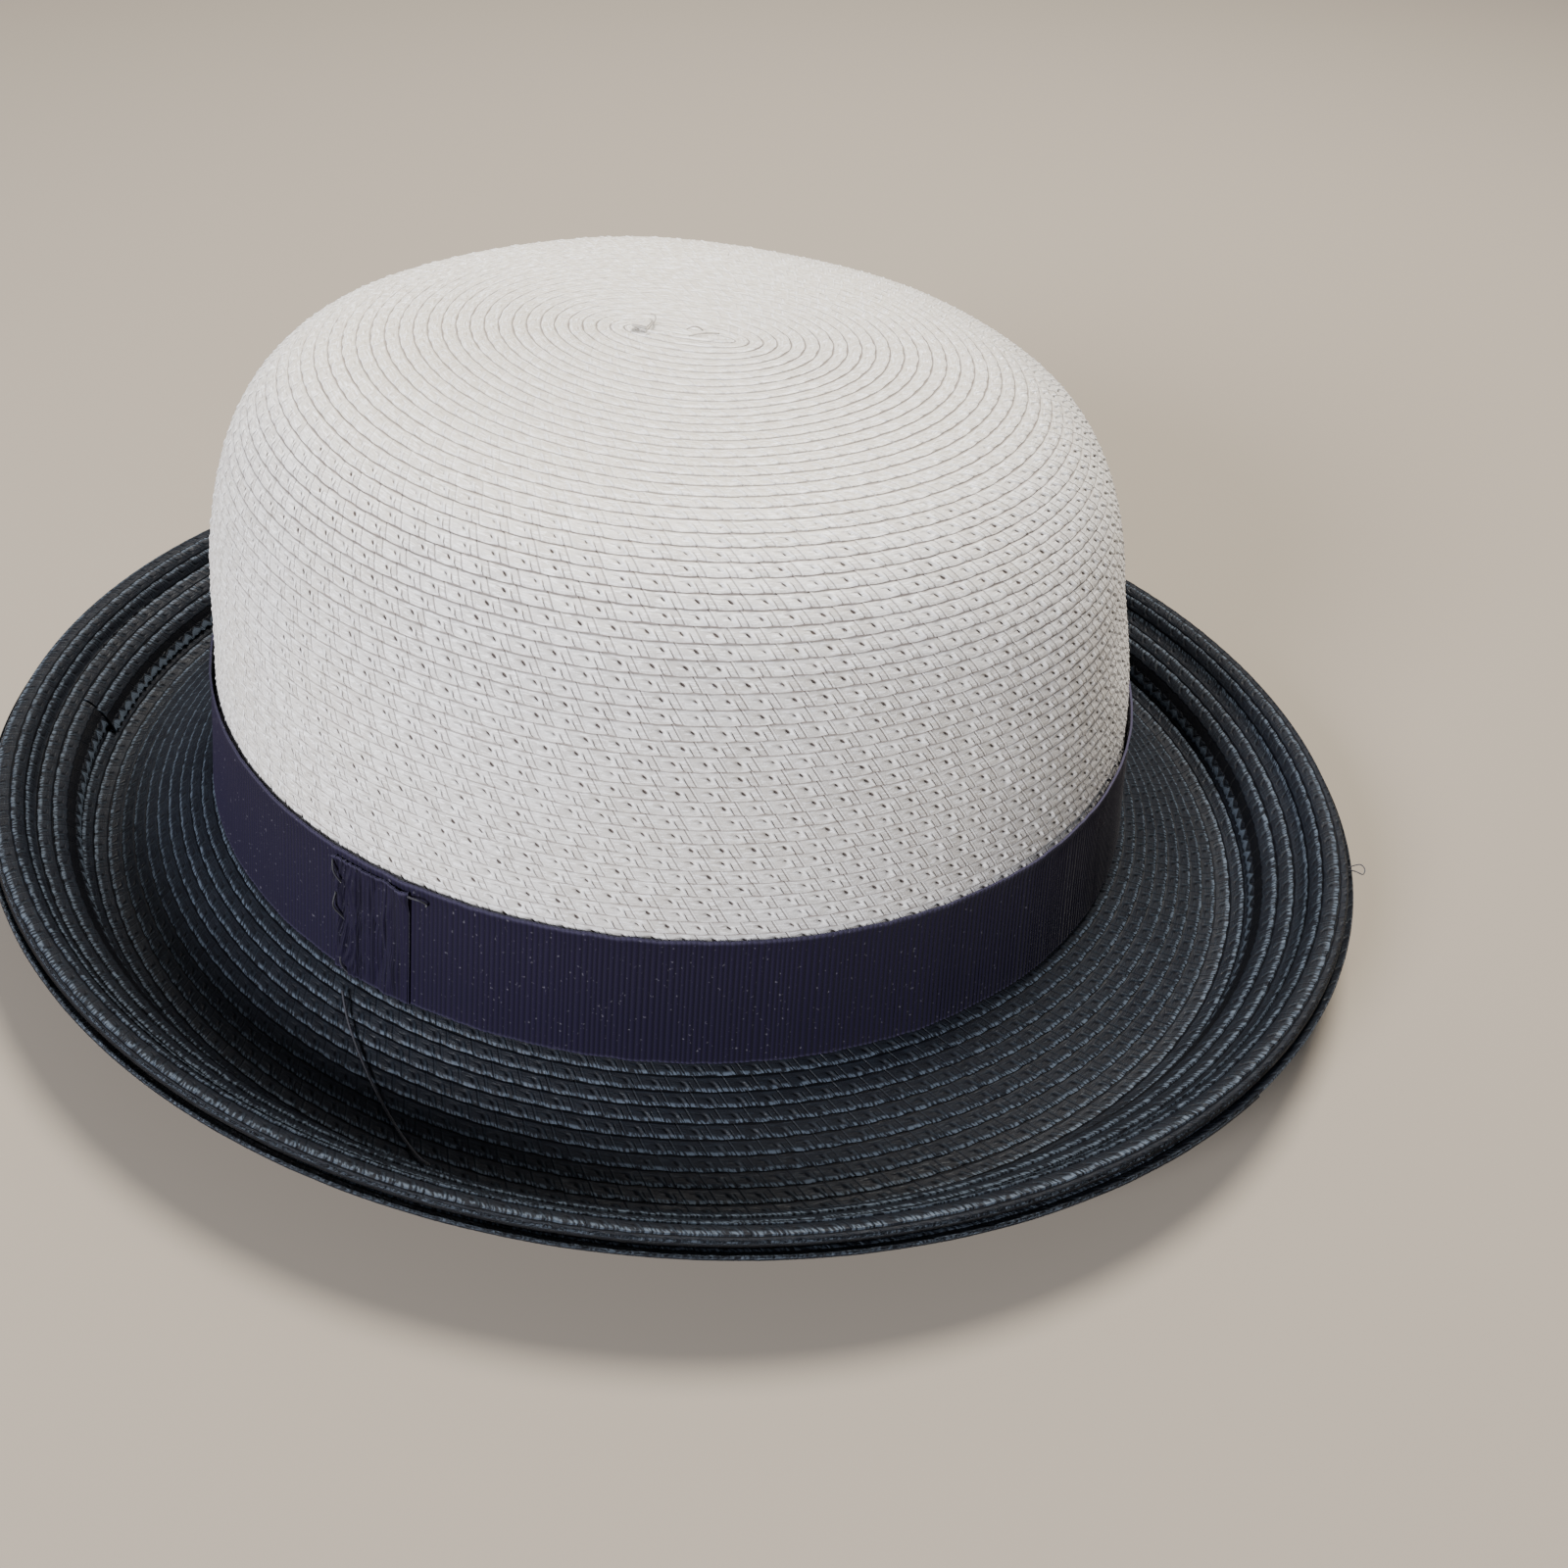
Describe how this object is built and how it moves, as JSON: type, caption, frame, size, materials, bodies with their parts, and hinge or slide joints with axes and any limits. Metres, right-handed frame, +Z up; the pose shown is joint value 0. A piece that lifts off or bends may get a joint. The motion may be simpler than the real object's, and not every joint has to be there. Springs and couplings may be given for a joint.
{
  "type": "sewn braid hat",
  "caption": "Two-tone hat of sewn plaited straw: domed ivory crown, navy ribbon and navy brim rolled up all round.",
  "frame": {"origin": "Bottom centre of the hat's bounding box: the hat stands on the underside of its brim at z = 0.", "axes": "+Z up through the crown, +X to the front of the head along the crown's long axis, +Y to the wearer's left."},
  "size_m": [0.2906, 0.259, 0.1103],
  "materials": {
    "ivory_straw": "plaited synthetic straw, satin",
    "navy_straw": "plaited synthetic straw, satin",
    "wire_steel": "plain drawn wire",
    "navy_ribbon": "ribbed grosgrain, matte",
    "inner_ribbon": "ribbed cotton ribbon, matte",
    "label_cloth": "plain woven tape",
    "navy_thread": "spun sewing thread"
  },
  "bodies": {
    "root": {"crown_braid": "ivory_straw", "brim_braid": "navy_straw", "edge_facing": "navy_straw", "edge_wire": "wire_steel", "wire_joiner": "wire_steel", "hat_band": "navy_ribbon", "sweatband": "inner_ribbon", "sweatband_label": "label_cloth", "loose_thread": "navy_thread"}
  },
  "joints": []
}
